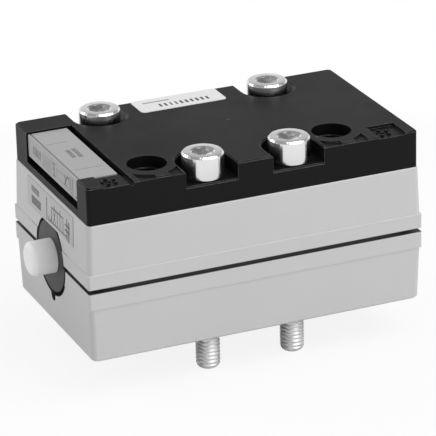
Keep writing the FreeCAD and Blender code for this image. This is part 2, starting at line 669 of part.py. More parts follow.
def spool_seals():
    """The rings on the spool, a little proud of its lands and just clear of the sleeve."""
    centre = SPOOL_R - SPOOL_RING / 2 + RING_FIT
    return Part.makeCompound([ring_x(SPOOL_RING, centre, x) for x in ALL_SPOOL_RINGS])


def coil(radius, wire, turns, x0, x1):
    """An open coil spring along the spool's axis between two seats."""
    low, high = x0 + wire / 2 + SPRING_SEAT, x1 - wire / 2 - SPRING_SEAT
    path = Part.makeHelix((high - low) / turns, high - low, radius)
    rise = FreeCAD.Vector(0, 2 * pi * radius, (high - low) / turns)
    section = Part.Wire(Part.makeCircle(wire / 2, FreeCAD.Vector(radius, 0, 0), rise))
    spring = Part.Wire(path.Edges).makePipeShell([section], True, True)
    spring.rotate(FreeCAD.Vector(0, 0, 0), FreeCAD.Vector(0, 1, 0), 90)
    spring.translate(FreeCAD.Vector(low, 0, AXIS_Z))
    return spring


def return_spring():
    """The spring that holds the spool at the button end."""
    return coil(RETURN_SPRING_R, RETURN_WIRE, RETURN_TURNS, SPOOL_RIGHT, BLIND_SEAT)


def button_spring():
    """The spring inside the hand button."""
    return coil(BUTTON_SPRING_R, BUTTON_WIRE, BUTTON_TURNS, BUTTON_POCKET, BUTTON_FLOOR)


def blind_plug():
    """The cup that closes the spring end of the bore."""
    body = cyl_x(SLEEVE_R, BLIND_INNER, BLIND_OUTER)
    pocket = cyl_x(BLIND_POCKET_R, BLIND_INNER - PAST, BLIND_SEAT)
    return cut(body, [pocket, outer_groove(BLIND_RING_X, SLEEVE_R, HOUSING_RING)])


def end_plug():
    """The plug at the button end, held by a flange between the shells and bored for the button."""
    upper = opening_x(OPENING_UPPER_R - OPENING_UPPER_GAP, PLUG_FACE, FLANGE_FRONT)
    roof = AXIS_Z + OPENING_TOP - OPENING_TOP_GAP
    upper = upper.common(box(-HALF_L, 0, -HALF_W, HALF_W, 0, roof))
    lower = opening_x(OPENING_LOWER_R - OPENING_LOWER_GAP, PLUG_FACE, FLANGE_FRONT)
    lower = lower.common(box(-HALF_L, 0, -HALF_W, HALF_W, 0, LOWER_HEIGHT))
    flange = cyl_x(PLUG_FLANGE_R, FLANGE_FRONT, FLANGE_BACK)
    spigot = cyl_x(SLEEVE_R, FLANGE_BACK, PLUG_INNER)
    tools = [
        cyl_x(BUTTON_R + BUTTON_FIT, PLUG_FACE - PAST, BUTTON_FLOOR),
        cyl_x(BUTTON_STEM_R + BUTTON_FIT, BUTTON_FLOOR - PAST, PLUG_INNER + PAST),
        stem_ring_room(),
        outer_groove(PLUG_RING_X, SLEEVE_R, HOUSING_RING),
    ]
    return cut(fused([upper, lower, flange, spigot]), tools)


def stem_ring_room():
    """The groove in the plug's web for the ring on the button's stem."""
    half = STEM_RING / 2 + RING_SIDE_GAP
    return cyl_x(BUTTON_STEM_R + BUTTON_FIT + STEM_RING + RING_FIT, STEM_RING_X - half, STEM_RING_X + half)


def button_seal():
    """The ring in the plug that seals the button's stem."""
    return ring_x(STEM_RING, BUTTON_STEM_R + BUTTON_FIT + STEM_RING / 2, STEM_RING_X)


def override_button():
    """The hand button: a hollow head round its spring, and a stem that pushes the spool."""
    head = cyl_x(BUTTON_R, BUTTON_TIP, BUTTON_SKIRT)
    rim = [e for e in head.Edges if abs(e.BoundBox.XMax - BUTTON_TIP) < 0.01 and e.BoundBox.XLength < 0.01]
    head = head.makeFillet(BUTTON_ROUND, rim)
    hollow = cyl_x(BUTTON_R - BUTTON_WALL, BUTTON_POCKET, BUTTON_SKIRT + PAST)
    stem = cyl_x(BUTTON_STEM_R, BUTTON_POCKET - BUTTON_FRONT / 2, STEM_END)
    body = fused([head.cut(hollow), stem])
    clip_end = CLIP_LEFT + CLIP_THICK + CLIP_FIT
    groove = cyl_x(BUTTON_STEM_R + PAST, CLIP_LEFT - CLIP_FIT, clip_end)
    groove = groove.cut(cyl_x(BUTTON_STEM_R - CLIP_GROOVE_DEPTH, CLIP_LEFT - CLIP_FIT, clip_end))
    return body.cut(groove)


def button_clip():
    """The open retaining ring that stops the button at its outer end."""
    ring = cyl_x(CLIP_R, CLIP_LEFT, CLIP_LEFT + CLIP_THICK)
    low, high = CLIP_LEFT - PAST, CLIP_LEFT + CLIP_THICK + PAST
    hole = cyl_x(BUTTON_STEM_R - CLIP_GROOVE_DEPTH + CLIP_FIT, low, high)
    slot = box(low, high, -CLIP_SLOT / 2, CLIP_SLOT / 2, AXIS_Z, AXIS_Z + CLIP_R + PAST)
    return ring.cut([hole, slot])


NODES = {
    "lower_housing": lower_housing,
    "upper_housing": upper_housing,
    "housing_seal": housing_seal,
    "base_seal": base_seal,
    "cover": cover,
    "label_insert": label_insert,
    "top_label": top_label,
    "end_label": end_label,
    "mounting_screws": mounting_screws,
    "tie_screws": tie_screws,
    "sleeve": sleeve,
    "sleeve_seals": sleeve_seals,
    "spool": spool,
    "spool_seals": spool_seals,
    "return_spring": return_spring,
    "blind_plug": blind_plug,
    "blind_plug_seal": lambda: housing_ring(BLIND_RING_X),
    "end_plug": end_plug,
    "end_plug_seal": lambda: housing_ring(PLUG_RING_X),
    "override_button": override_button,
    "button_seal": button_seal,
    "button_clip": button_clip,
    "button_spring": button_spring,
}

os.makedirs("parts", exist_ok=True)
for name, make in NODES.items():
    shape = make()
    shape.exportStep(f"parts/{name}.step")
    print(name, len(shape.Solids), round(shape.Volume, 1), shape.isValid())
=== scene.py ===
"""Looks of the directional control valve: finishes, softened edges, threaded screws, springs, print.

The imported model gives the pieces' places. What it doesn't say, such as threads, sockets and print,
is given here. The surfaces of screws and print are computed as whole arrays, in metres.
"""
import json
from math import cos, radians, sin

import bmesh
import bpy
import numpy as np
from mathutils import Matrix, Vector


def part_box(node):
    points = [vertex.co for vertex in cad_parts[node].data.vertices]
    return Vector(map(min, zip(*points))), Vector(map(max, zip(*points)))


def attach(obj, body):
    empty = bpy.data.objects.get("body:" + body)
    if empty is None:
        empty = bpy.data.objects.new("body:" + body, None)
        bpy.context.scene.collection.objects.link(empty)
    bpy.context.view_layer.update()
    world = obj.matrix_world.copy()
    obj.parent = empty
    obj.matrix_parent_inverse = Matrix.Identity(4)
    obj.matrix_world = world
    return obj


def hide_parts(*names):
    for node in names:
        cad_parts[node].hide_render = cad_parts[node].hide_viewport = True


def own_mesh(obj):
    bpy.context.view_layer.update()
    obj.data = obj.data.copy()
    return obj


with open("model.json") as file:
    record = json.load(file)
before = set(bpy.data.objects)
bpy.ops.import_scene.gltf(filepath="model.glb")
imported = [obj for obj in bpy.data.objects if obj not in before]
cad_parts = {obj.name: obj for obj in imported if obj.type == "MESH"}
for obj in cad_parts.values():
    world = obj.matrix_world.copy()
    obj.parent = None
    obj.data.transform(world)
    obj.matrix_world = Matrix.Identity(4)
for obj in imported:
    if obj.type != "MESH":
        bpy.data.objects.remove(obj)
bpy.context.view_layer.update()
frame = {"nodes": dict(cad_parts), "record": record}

MM = 0.001
NODES = frame["nodes"]
MOUNTS = {mount["name"]: mount for mount in frame["record"]["mounts"]}
OPENINGS = {opening["name"]: opening for opening in frame["record"]["physics"]["openings"]}

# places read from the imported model
LOWER_LO, LOWER_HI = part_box("lower_housing")
UPPER_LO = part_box("upper_housing")[0]
COVER_LO, COVER_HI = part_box("cover")
SCREWS_LO, SCREWS_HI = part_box("mounting_screws")
TIES_LO, TIES_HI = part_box("tie_screws")
CARRIER_LO, CARRIER_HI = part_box("label_insert")
WHITE_LO, WHITE_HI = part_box("top_label")
END_LO, END_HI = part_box("end_label")
PLUG_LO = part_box("end_plug")[0]

# where shade is painted on the shells: in the slit between them, and in the end opening and its notch.
# A pair says where the painted shade begins and where it is full.
SLIT_MIDDLE = (LOWER_HI.z + UPPER_LO.z) / 2
SLIT_HALF = abs(UPPER_LO.z - LOWER_HI.z) / 2
PAST_SLIT = (0.04 * MM, 0.0)
LEVEL_FACE = (0.5, 0.8)
OPENING_SHIFT = 0.5 * MM
OPENING_REACH = (10.6 * MM, 10.4 * MM)
OPENING_BACK = (-28.0 * MM, -28.5 * MM)
OPENING_WALL = (0.7, 0.4)
BEHIND_END_FACE = (-34.5 * MM, -34.2 * MM)

# how far edges are rounded
COVER_ROUND = 0.16 * MM
HOUSING_ROUND = 0.2 * MM
PLUG_ROUND = 0.12 * MM
CARRIER_ROUND = 0.1 * MM
ROUND_STEPS = 3
SHARP_ANGLE = radians(32)
FLAT_ANGLE = radians(0.6)
WELD = 0.0005 * MM

# which edges are rounded: how near the outer walls they lie, and how their faces look up
SHELL_REACH = 0.9 * MM
COVER_REACH = 0.6 * MM
PLUG_FACE_REACH = 0.1 * MM
LOOKS_UP = 0.3
NEARLY_UP = 0.95
NEARLY_UPRIGHT = 0.05

# print and marks
PRINT_LIFT = 0.015 * MM
MARK_LIFT = 0.3 * MM
LABEL_FILM = 0.12 * MM
POCKET_DEPTH = 0.5 * MM
FACING_UP = ((1, 0, 0), (0, 1, 0))
FACING_LEFT = ((0, -1, 0), (0, 0, 1))

# every screw: points round it, its thread, its tip, the rounds of its head and its socket's mouth
SCREW_AROUND = 120
THREAD_STEPS = 8
THREAD_SHARE = 0.3
THREAD_FADE = 1.5
WAVE_GAIN, WAVE_SHIFT = 1.15, 0.1
TIP_HEIGHT = 0.54
TIP_TAPER = 0.85
NECK_ROUND = 0.2 * MM
FOOT_ROUND = 0.35 * MM
RIM_ROUND = 0.12 * MM
KNURL_COUNT = 40
KNURL_DEPTH = 0.07 * MM
KNURL_REACH = 3.0
KNURL_INNER = 0.9
MOUTH_SHARE = 1.03
MOUTH_LAND = 0.06 * MM
LIP_SLOPE = 0.6
HALF_WAY = 0.6
SOCKET_CONE = ((0.97, 0.0), (0.5, 0.25))
CONE_DEPTH = 0.5

# mounting screws
SCREW_HEAD_HEIGHT = 5.0 * MM
SCREW_SHANK_R = 2.4 * MM
SCREW_ACROSS = 4.0 * MM
SCREW_SOCKET = 2.5 * MM
SCREW_CHAMFER = 0.3 * MM
SCREW_THREAD = 22.0 * MM
SCREW_PITCH = 0.8 * MM
HEAD_FIT = 0.08 * MM

# housing screws
TIE_HEAD_HEIGHT = 3.0 * MM
TIE_SHANK_R = 1.75 * MM
TIE_ACROSS = 2.5 * MM
TIE_SOCKET = 1.4 * MM
TIE_CHAMFER = 0.25 * MM
TIE_LENGTH = 18.5 * MM
TIE_THREAD = 12.0 * MM
TIE_PITCH = 0.6 * MM

# the photograph's view
CAMERA_AZIMUTH = radians(-22.766)
CAMERA_ELEVATION = radians(22.461)
CAMERA_ROLL = radians(-1.449)
CAMERA_DISTANCE = 595.3 * MM
CAMERA_TARGET = Vector((0.28, 0.04, 15.99)) * MM
CAMERA_LENS = 248.63
SENSOR_WIDTH = 36.0
CAMERA_CLIP = (0.01, 20.0)

# how the studio looks
STAGE_HALF = 3.0
FLOOR_GAP = 0.02 * MM
FLOOR_TONE = 0.8
FLOOR_LIFT = 0.88
FLOOR_WHITE = (0.05, 0.14)
CARD_HEIGHT = 1.3
CARD_TONE = 0.35
WORLD_FILL = 0.42
SOFTBOXES = (
    ("top_softbox", (0.30, -0.38, 0.87), 0.6, 0.5, 3.0),
    ("left_softbox", (-0.62, 0.55, 0.40), 0.7, 0.35, 3.2),
    ("front_softbox", (0.45, -0.85, 0.30), 0.9, 0.6, 1.2),
)


# surfaces


def closed_surface(name, rings, low_pole, high_pole):
    """A closed mesh from rings of points, shape (rings, points, 3), with a fan to a pole at each end.

    Point j of ring i is joined to point j + 1 of that ring and to point j of ring i + 1, so the
    faces point outwards where the rings run up the axis and their points turn anticlockwise.
    """
    count, around = rings.shape[:2]
    verts = np.concatenate([rings.reshape(-1, 3), [low_pole, high_pole]])
    i, j = np.meshgrid(np.arange(count - 1) * around, np.arange(around), indexing="ij")
    k = (j + 1) % around
    quads = np.stack([i + j, i + k, i + around + k, i + around + j], -1).reshape(-1, 4)
    j = np.arange(around)
    k = (j + 1) % around
    low, high = np.full(around, count * around), np.full(around, count * around + 1)
    last = (count - 1) * around
    fans = np.concatenate([np.stack([k, j, low], -1), np.stack([last + j, last + k, high], -1)])
    mesh = bpy.data.meshes.new(name)
    mesh.from_pydata(verts.tolist(), [], quads.tolist() + fans.tolist())
    return mesh


def shown(name, mesh, body, material, stands_for=()):
    """A finished piece in one material, riding on its body, in place of what it stands for."""
    mesh.materials.clear()
    mesh.materials.append(material)
    piece = bpy.data.objects.new(name, mesh)
    bpy.context.scene.collection.objects.link(piece)
    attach(piece, body)
    if stands_for:
        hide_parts(*stands_for)
    return piece


def creased(mesh):
    """Smooth shading that breaks at sharp angles."""
    mesh.shade_smooth()
    mesh.set_sharp_from_angle(angle=SHARP_ANGLE)
    return mesh


def arc(radius, depth, reach, start, end, steps=5):
    """Points of a profile on an arc, each with its radius and its depth.

    A point is the arc's centre plus reach times the cosine and the sine of an angle in degrees.
    """
    a = np.radians(np.linspace(start, end, steps))
    return np.stack([radius + reach * np.cos(a), depth + reach * np.sin(a)], -1)


def socket_screw(
    name, place, way, length, head_r, head_height, chamfer, across, socket, shank_r, thread, pitch
):
    """A socket head screw as one closed surface of rings about its axis, tip first.

    Each ring has, for every angle, a radius and a depth below the head's top. In the socket the
    radius is the hexagon's: half its width over the cosine of the angle from the nearest flat. On
    the thread it is the crest radius less the thread depth times a triangle wave of depth over
    pitch minus angle over a full turn, kept inside the tip's rounding. Elsewhere it is a circle's,
    and round the rim a small cosine of the angle makes its knurl. The faces of the thread carry the
    attribute threaded, which is 1 on them.
    """
    around = SCREW_AROUND
    a = np.arange(around) * 2 * np.pi / around
    flat = across / 2
    hexagon = flat / np.cos((a % (np.pi / 3)) - np.pi / 6)
    mouth = hexagon.max() * MOUTH_SHARE
    end = head_height + length
    depth = THREAD_SHARE * pitch
    tip = TIP_HEIGHT * shank_r

    z = np.linspace(end, end - thread, int(thread / pitch * THREAD_STEPS) + 1)[:, None]
    wave = np.abs(((z / pitch - a / (2 * np.pi)) % 1.0) * 2 - 1)
    fade = np.clip((z - (end - thread)) / (THREAD_FADE * pitch), 0, 1)
    crest = shank_r - depth * np.clip(wave * WAVE_GAIN - WAVE_SHIFT, 0, 1) * fade
    round_tip = np.sqrt(1 - (1 - np.clip((end - z) / tip, 0, 1)) ** 2)
    cone = shank_r - TIP_TAPER * tip * (1 - round_tip)
    thread_r = np.minimum(crest, cone)
    thread_z = np.broadcast_to(z, thread_r.shape)

    outer = np.concatenate([
        arc(shank_r + NECK_ROUND, head_height + NECK_ROUND, -NECK_ROUND, 0, 90),
        arc(head_r - FOOT_ROUND, head_height - FOOT_ROUND, FOOT_ROUND, 90, 0),
        arc(head_r - RIM_ROUND, chamfer + RIM_ROUND, RIM_ROUND, 0, -45),
        arc(head_r - chamfer - RIM_ROUND, RIM_ROUND, RIM_ROUND, -45, -90),
        np.array([[mouth + MOUTH_LAND, 0.0]]),
    ])
    near_rim = np.clip(1 - np.abs(outer[:, 1:] - chamfer) / (KNURL_REACH * chamfer), 0, 1)
    knurl = KNURL_DEPTH * near_rim * (0.5 + 0.5 * np.cos(KNURL_COUNT * a))
    ring_r = np.where(outer[:, :1] > KNURL_INNER * head_r, outer[:, :1] - knurl, outer[:, :1] + 0 * a)
    ring_z = np.repeat(outer[:, 1:], around, 1)

    lip_z = (mouth - hexagon) * LIP_SLOPE
    walls_r = np.stack([np.full(around, mouth), hexagon, hexagon, hexagon])
    half_way, bottom = np.full(around, HALF_WAY * socket), np.full(around, socket)
    walls_z = np.stack([np.zeros(around), lip_z, half_way, bottom])
    floor = np.array([[r * flat, socket + z * flat] for r, z in SOCKET_CONE])
    floor_r = np.repeat(floor[:, :1], around, 1)
    floor_z = np.repeat(floor[:, 1:], around, 1)

    r = np.concatenate([thread_r, ring_r, walls_r, floor_r])
    z = np.concatenate([thread_z, ring_z, walls_z, floor_z])
    rings = np.stack([r * np.cos(a), way * r * np.sin(a), -way * z], -1) + np.array(place)
    low = np.array(place) + [0, 0, -way * end]
    high = np.array(place) + [0, 0, -way * (socket + CONE_DEPTH * flat)]
    mesh = creased(closed_surface(name, rings, low, high))
    threaded = np.arange(len(mesh.polygons)) < (len(thread_z) - 1) * around
    mesh.attributes.new("threaded", "FLOAT", "FACE").data.foreach_set("value", threaded.astype(float))
    return mesh


def strokes(name, segments, lift, origin, u_axis, v_axis):
    """Thin flat boxes along line segments in a plane, each given as u0, v0, u1, v1 and width.

    A box's four corners are its ends moved half a width to each side along the direction turned
    by a right angle. The lower face lies in the plane and the upper face is lifted off it.
    """
    s = np.array(segments, float) * MM
    start, end, half = s[:, 0:2], s[:, 2:4], s[:, 4:5] / 2
    along = end - start
    along = along / np.linalg.norm(along, axis=1, keepdims=True)
    side = np.stack([-along[:, 1], along[:, 0]], -1) * half
    corners = np.stack([start - side, end - side, end + side, start + side], 1)
    u_axis, v_axis = np.array(u_axis, float), np.array(v_axis, float)
    out = np.cross(u_axis, v_axis)
    out = out / np.linalg.norm(out)
    base = corners[..., :1] * u_axis + corners[..., 1:] * v_axis + np.array(origin)
    verts = np.concatenate([base, base + out * lift], 1)
    sides = [[i, (i + 1) % 4, (i + 1) % 4 + 4, i + 4] for i in range(4)]
    box = np.array([[3, 2, 1, 0], [4, 5, 6, 7]] + sides)
    faces = (box[None] + 8 * np.arange(len(s))[:, None, None]).reshape(-1, 4)
    mesh = bpy.data.meshes.new(name)
    mesh.from_pydata(verts.reshape(-1, 3).tolist(), [], faces.tolist())
    return mesh


def softened(label, width, chosen):
    """A copy of a solid's mesh with its doubles merged, its flats joined and chosen edges rounded.

    The faces along the rounded edges carry a corner attribute, 1 on them, which marks where a highlight
    is painted.
    """
    source = NODES[label].data
    co = np.empty(len(source.vertices) * 3)
    source.vertices.foreach_get("co", co)
    triangles = [tuple(polygon.vertices) for polygon in source.polygons]
    raw = bpy.data.meshes.new(label + "_raw")
    raw.from_pydata(co.reshape(-1, 3).tolist(), [], triangles)
    bm = bmesh.new()
    bm.from_mesh(raw)
    bpy.data.meshes.remove(raw)
    bmesh.ops.remove_doubles(bm, verts=bm.verts, dist=WELD)
    bmesh.ops.dissolve_limit(bm, angle_limit=FLAT_ANGLE, verts=bm.verts, edges=bm.edges)
    edges = [e for e in bm.edges if len(e.link_faces) == 2]
    edges = [e for e in edges if e.calc_face_angle() > SHARP_ANGLE and chosen(e)]
    made = bmesh.ops.bevel(
        bm, geom=edges, offset=width, offset_type="OFFSET", segments=ROUND_STEPS, profile=0.5,
        affect="EDGES", clamp_overlap=True, material=-1, loop_slide=True,
    )
    rub = bm.loops.layers.float.new("rub")
    for face in made["faces"]:
        for loop in face.loops:
            loop[rub] = 1.0
    mesh = bpy.data.meshes.new(label + "_softened")
    bm.to_mesh(mesh)
    bm.free()
    return creased(mesh)


def weighted(piece):
    """Normals weighted by face area, so that flats stay flat beside their rounded edges."""
    modifier = piece.modifiers.new("flats", "WEIGHTED_NORMAL")
    modifier.keep_sharp = True
    modifier.weight = 100


# shader node groups that several finishes share


def new_group(name, inputs, outputs):
    """An empty node group with named float inputs and outputs, and its two end nodes."""
    group = bpy.data.node_groups.new(name, "ShaderNodeTree")
    for label, value in inputs.items():
        socket = group.interface.new_socket(label, in_out="INPUT", socket_type="NodeSocketFloat")
        socket.default_value = value
    for label in outputs:
        group.interface.new_socket(label, in_out="OUTPUT", socket_type="NodeSocketFloat")
    return group, group.nodes.new("NodeGroupInput"), group.nodes.new("NodeGroupOutput")


def node(tree, kind, settings=None, **values):
    """A node with its settings and the default values of its named inputs."""
    made = tree.nodes.new(kind)
    for key, value in (settings or {}).items():
        setattr(made, key, value)
    for key, value in values.items():
        made.inputs[key.replace("_", " ")].default_value = value
    return made


def moulded_skin():
    """Fine grain of a moulded surface, and broad patches of slightly different gloss."""
    inputs = {"Grain": 4000.0, "Patches": 45.0}
    group, start, end = new_group("moulded_skin", inputs, ["Height", "Patch"])
    links = group.links
    place = node(group, "ShaderNodeTexCoord")
    grain = node(group, "ShaderNodeTexNoise", Detail=2.0, Roughness=0.55)
    patch = node(group, "ShaderNodeTexNoise", Detail=4.0, Roughness=0.6)
    for texture, scale in ((grain, "Grain"), (patch, "Patches")):
        links.new(place.outputs["Object"], texture.inputs["Vector"])
        links.new(start.outputs[scale], texture.inputs["Scale"])
    links.new(grain.outputs["Fac"], end.inputs["Height"])
    links.new(patch.outputs["Fac"], end.inputs["Patch"])
    return group


def rubbed_edges():
    """The rounded edges, broken up by noise: a mask for their painted highlight and their glossy coat."""
    group, start, end = new_group("rubbed_edges", {"Break": 900.0}, ["Mask"])
    place = node(group, "ShaderNodeTexCoord")
    edge = node(group, "ShaderNodeAttribute", {"attribute_name": "rub"})
    noise = node(group, "ShaderNodeTexNoise", Detail=3.0)
    ramp = node(group, "ShaderNodeMapRange", From_Min=0.38, From_Max=0.62, To_Min=0.35, To_Max=1.0)
    both = node(group, "ShaderNodeMath", {"operation": "MULTIPLY"})
    group.links.new(place.outputs["Object"], noise.inputs["Vector"])
    group.links.new(start.outputs["Break"], noise.inputs["Scale"])
    group.links.new(noise.outputs["Fac"], ramp.inputs["Value"])
    group.links.new(edge.outputs["Fac"], both.inputs[0])
    group.links.new(ramp.outputs["Result"], both.inputs[1])
    group.links.new(both.outputs["Value"], end.inputs["Mask"])
    return group


def settled_dust():
    """Tiny pale specks on faces that look up."""
    group, start, end = new_group("settled_dust", {"Specks": 520.0, "Amount": 0.06}, ["Mask"])
    links = group.links
    place = node(group, "ShaderNodeTexCoord")
    cells = node(group, "ShaderNodeTexVoronoi", {"feature": "F1"}, Randomness=1.0)
    shape = node(group, "ShaderNodeMapRange", From_Min=0.14, From_Max=0.05, To_Min=0.0, To_Max=1.0)
    pick = node(group, "ShaderNodeSeparateColor")
    rare = node(group, "ShaderNodeMath", {"operation": "LESS_THAN"})
    facing = node(group, "ShaderNodeNewGeometry")
    split = node(group, "ShaderNodeSeparateXYZ")
    up = node(group, "ShaderNodeMapRange", From_Min=0.6, From_Max=0.95)
    one = node(group, "ShaderNodeMath", {"operation": "MULTIPLY"})
    two = node(group, "ShaderNodeMath", {"operation": "MULTIPLY"})
    links.new(place.outputs["Object"], cells.inputs["Vector"])
    links.new(start.outputs["Specks"], cells.inputs["Scale"])
    links.new(cells.outputs["Distance"], shape.inputs["Value"])
    links.new(cells.outputs["Color"], pick.inputs["Color"])
    links.new(pick.outputs["Red"], rare.inputs[0])
    links.new(start.outputs["Amount"], rare.inputs[1])
    links.new(facing.outputs["Normal"], split.inputs["Vector"])
    links.new(split.outputs["Z"], up.inputs["Value"])
    links.new(shape.outputs["Result"], one.inputs[0])
    links.new(rare.outputs["Value"], one.inputs[1])
    links.new(one.outputs["Value"], two.inputs[0])
    links.new(up.outputs["Result"], two.inputs[1])
    links.new(two.outputs["Value"], end.inputs["Mask"])
    return group


def tool_marks():
    """Fine lines across X, as turning or drawing leaves them, and broad smears in tone and gloss."""
    group, start, end = new_group("tool_marks", {"Lines": 9000.0, "Smears": 160.0}, ["Height", "Smear"])
    links = group.links
    place = node(group, "ShaderNodeTexCoord")
    split = node(group, "ShaderNodeSeparateXYZ")
    lines = node(group, "ShaderNodeTexNoise", {"noise_dimensions": "1D"}, Detail=2.0)
    smears = node(group, "ShaderNodeTexNoise", Detail=3.0)
    links.new(place.outputs["Object"], split.inputs["Vector"])
    links.new(split.outputs["X"], lines.inputs["W"])
    links.new(start.outputs["Lines"], lines.inputs["Scale"])
    links.new(place.outputs["Object"], smears.inputs["Vector"])
    links.new(start.outputs["Smears"], smears.inputs["Scale"])
    links.new(lines.outputs["Fac"], end.inputs["Height"])
    links.new(smears.outputs["Fac"], end.inputs["Smear"])
    return group


def shaded_gaps():
    """Painted shade on the shells: on the faces of the slit between them and in the end opening."""
    group, start, end = new_group("shaded_gaps", {"Middle": SLIT_MIDDLE, "Half": SLIT_HALF}, ["Mask"])
    links = group.links
    place = node(group, "ShaderNodeTexCoord")
    facing = node(group, "ShaderNodeNewGeometry")
    at, way = node(group, "ShaderNodeSeparateXYZ"), node(group, "ShaderNodeSeparateXYZ")
    links.new(place.outputs["Object"], at.inputs["Vector"])
    links.new(facing.outputs["Normal"], way.inputs["Vector"])

    def maths(operation, *values):
        """The outcome of a Math node on sockets or numbers."""
        made = node(group, "ShaderNodeMath", {"operation": operation})
        for socket, value in zip(made.inputs, values):
            if isinstance(value, bpy.types.NodeSocket):
                links.new(value, socket)
            else:
                socket.default_value = value
        return made.outputs["Value"]

    def share(value, none, full):
        """How far a value has gone from where the effect begins to where it is full."""
        ramp = node(group, "ShaderNodeMapRange", From_Min=none, From_Max=full)
        links.new(value, ramp.inputs["Value"])
        return ramp.outputs["Result"]

    height = maths("SUBTRACT", at.outputs["Z"], start.outputs["Middle"])
    past = maths("SUBTRACT", maths("ABSOLUTE", height), start.outputs["Half"])
    level = share(maths("ABSOLUTE", way.outputs["Z"]), *LEVEL_FACE)
    slit = maths("MULTIPLY", share(past, *PAST_SLIT), level)
    aside = maths("SUBTRACT", at.outputs["Y"], OPENING_SHIFT)
    reach = maths("SQRT", maths("ADD", maths("POWER", aside, 2.0), maths("POWER", height, 2.0)))
    near_end = share(at.outputs["X"], *OPENING_BACK)
    inside = maths("MULTIPLY", share(reach, *OPENING_REACH), near_end)
    aslant = share(maths("ABSOLUTE", way.outputs["X"]), *OPENING_WALL)
    deep = share(at.outputs["X"], *BEHIND_END_FACE)
    walls = maths("MULTIPLY", inside, maths("MAXIMUM", aslant, deep))
    links.new(maths("MAXIMUM", slit, walls), end.inputs["Mask"])
    return group


SKIN = moulded_skin()
EDGES = rubbed_edges()
GAP_SHADE = shaded_gaps()
DUST = settled_dust()
MARKS = tool_marks()


# finishes

DUST_TONE = 0.25


def grey(value):
    """A neutral linear colour."""
    return (value, value, value, 1.0)


def empty_material(name):
    """A material with no nodes yet, and its tree."""
    material = bpy.data.materials.new(name)
    material.use_nodes = True
    material.node_tree.nodes.clear()
    return material, material.node_tree


def new_finish(name, **constants):
    """A material with one Principled shader, whose even values are set on its own sockets."""
    material, tree = empty_material(name)
    shader = tree.nodes.new("ShaderNodeBsdfPrincipled")
    out = tree.nodes.new("ShaderNodeOutputMaterial")
    tree.links.new(shader.outputs["BSDF"], out.inputs["Surface"])
    for label, value in constants.items():
        shader.inputs[label.replace("_", " ")].default_value = value
    return material, tree, shader


def placed_group(tree, group, **values):
    """A shared group in a material, with this material's values."""
    made = tree.nodes.new("ShaderNodeGroup")
    made.node_tree = group
    for key, value in values.items():
        made.inputs[key].default_value = value
    return made


def spread(tree, source, target, low, high):
    """A varying value mapped to a range on a socket of the shader."""
    ramp = node(tree, "ShaderNodeMapRange", From_Min=0.3, From_Max=0.7, To_Min=low, To_Max=high)
    tree.links.new(source, ramp.inputs["Value"])
    tree.links.new(ramp.outputs["Result"], target)
    return ramp


def blended(tree, factor, low, high):
    """A colour that runs from one to another with a varying factor."""
    mix = node(tree, "ShaderNodeMix", {"data_type": "RGBA"})
    colours = [s for s in mix.inputs if s.type == "RGBA"]
    for socket, value in zip(colours, (low, high)):
        if isinstance(value, bpy.types.NodeSocket):
            tree.links.new(value, socket)
        else:
            socket.default_value = value
    tree.links.new(factor, mix.inputs["Factor"])
    return [s for s in mix.outputs if s.type == "RGBA"][0]


def bumped(tree, height, shader, distance):
    """A bump of a real height on the shader's normal."""
    bump = node(tree, "ShaderNodeBump", Strength=1.0, Distance=distance)
    tree.links.new(height, bump.inputs["Height"])
    tree.links.new(bump.outputs["Normal"], shader.inputs["Normal"])


def moulded_plastic(
    name, dark, light, gloss, grain, depth, edge=None, dust=0.0, polish=0.0, gap_shade_tone=None, **constants
):
    """Moulded plastic: grain, broad patches in tone and gloss, a painted highlight and a glossy coat
    on rounded edges, painted shade in gaps and a little dust.

    Dark and light are the ends of its tone and gloss those of its roughness. Edge is the tone painted
    on its rounded edges as their highlight, and the gap tone the painted shade of its gaps.
    """
    material, tree, shader = new_finish(name, **constants)
    skin = placed_group(tree, SKIN, Grain=grain)
    tone = blended(tree, skin.outputs["Patch"], grey(dark), grey(light))
    # painted highlight: a lighter tone on the rounded edges; the glossy coat there is real gloss
    if edge is not None:
        rub = placed_group(tree, EDGES)
        tone = blended(tree, rub.outputs["Mask"], tone, grey(edge))
        if polish:
            shine = node(tree, "ShaderNodeMath", {"operation": "MULTIPLY"})
            shine.inputs[1].default_value = polish
            tree.links.new(rub.outputs["Mask"], shine.inputs[0])
            tree.links.new(shine.outputs["Value"], shader.inputs["Coat Weight"])
    # painted shade: the slit between the shells and the end opening get a darker tone
    if gap_shade_tone is not None:
        gap_shade_mask = placed_group(tree, GAP_SHADE)
        tone = blended(tree, gap_shade_mask.outputs["Mask"], tone, grey(gap_shade_tone))
    if dust:
        specks = placed_group(tree, DUST, Amount=dust)
        tone = blended(tree, specks.outputs["Mask"], tone, grey(DUST_TONE))
    tree.links.new(tone, shader.inputs["Base Color"])
    spread(tree, skin.outputs["Patch"], shader.inputs["Roughness"], *gloss)
    bumped(tree, skin.outputs["Height"], shader, depth)
    return material


def worked_metal(name, dark, light, gloss, lines, depth, thread_gloss=0.0, **constants):
    """Bare or plated metal with the fine lines of its making, rougher by a share on rolled threads."""
    material, tree, shader = new_finish(name, Metallic=1.0, **constants)
    marks = placed_group(tree, MARKS, Lines=lines)
    tone = blended(tree, marks.outputs["Smear"], grey(dark), grey(light))
    ramp = spread(tree, marks.outputs["Smear"], shader.inputs["Roughness"], *gloss)
    if thread_gloss:
        thread = node(tree, "ShaderNodeAttribute", {"attribute_name": "threaded"})
        rougher = node(tree, "ShaderNodeMath", {"operation": "MULTIPLY_ADD"})
        rougher.inputs[1].default_value = thread_gloss
        tree.links.new(thread.outputs["Fac"], rougher.inputs[0])
        tree.links.new(ramp.outputs["Result"], rougher.inputs[2])
        tree.links.new(rougher.outputs["Value"], shader.inputs["Roughness"])
    tree.links.new(tone, shader.inputs["Base Color"])
    bumped(tree, marks.outputs["Height"], shader, depth)
    return material
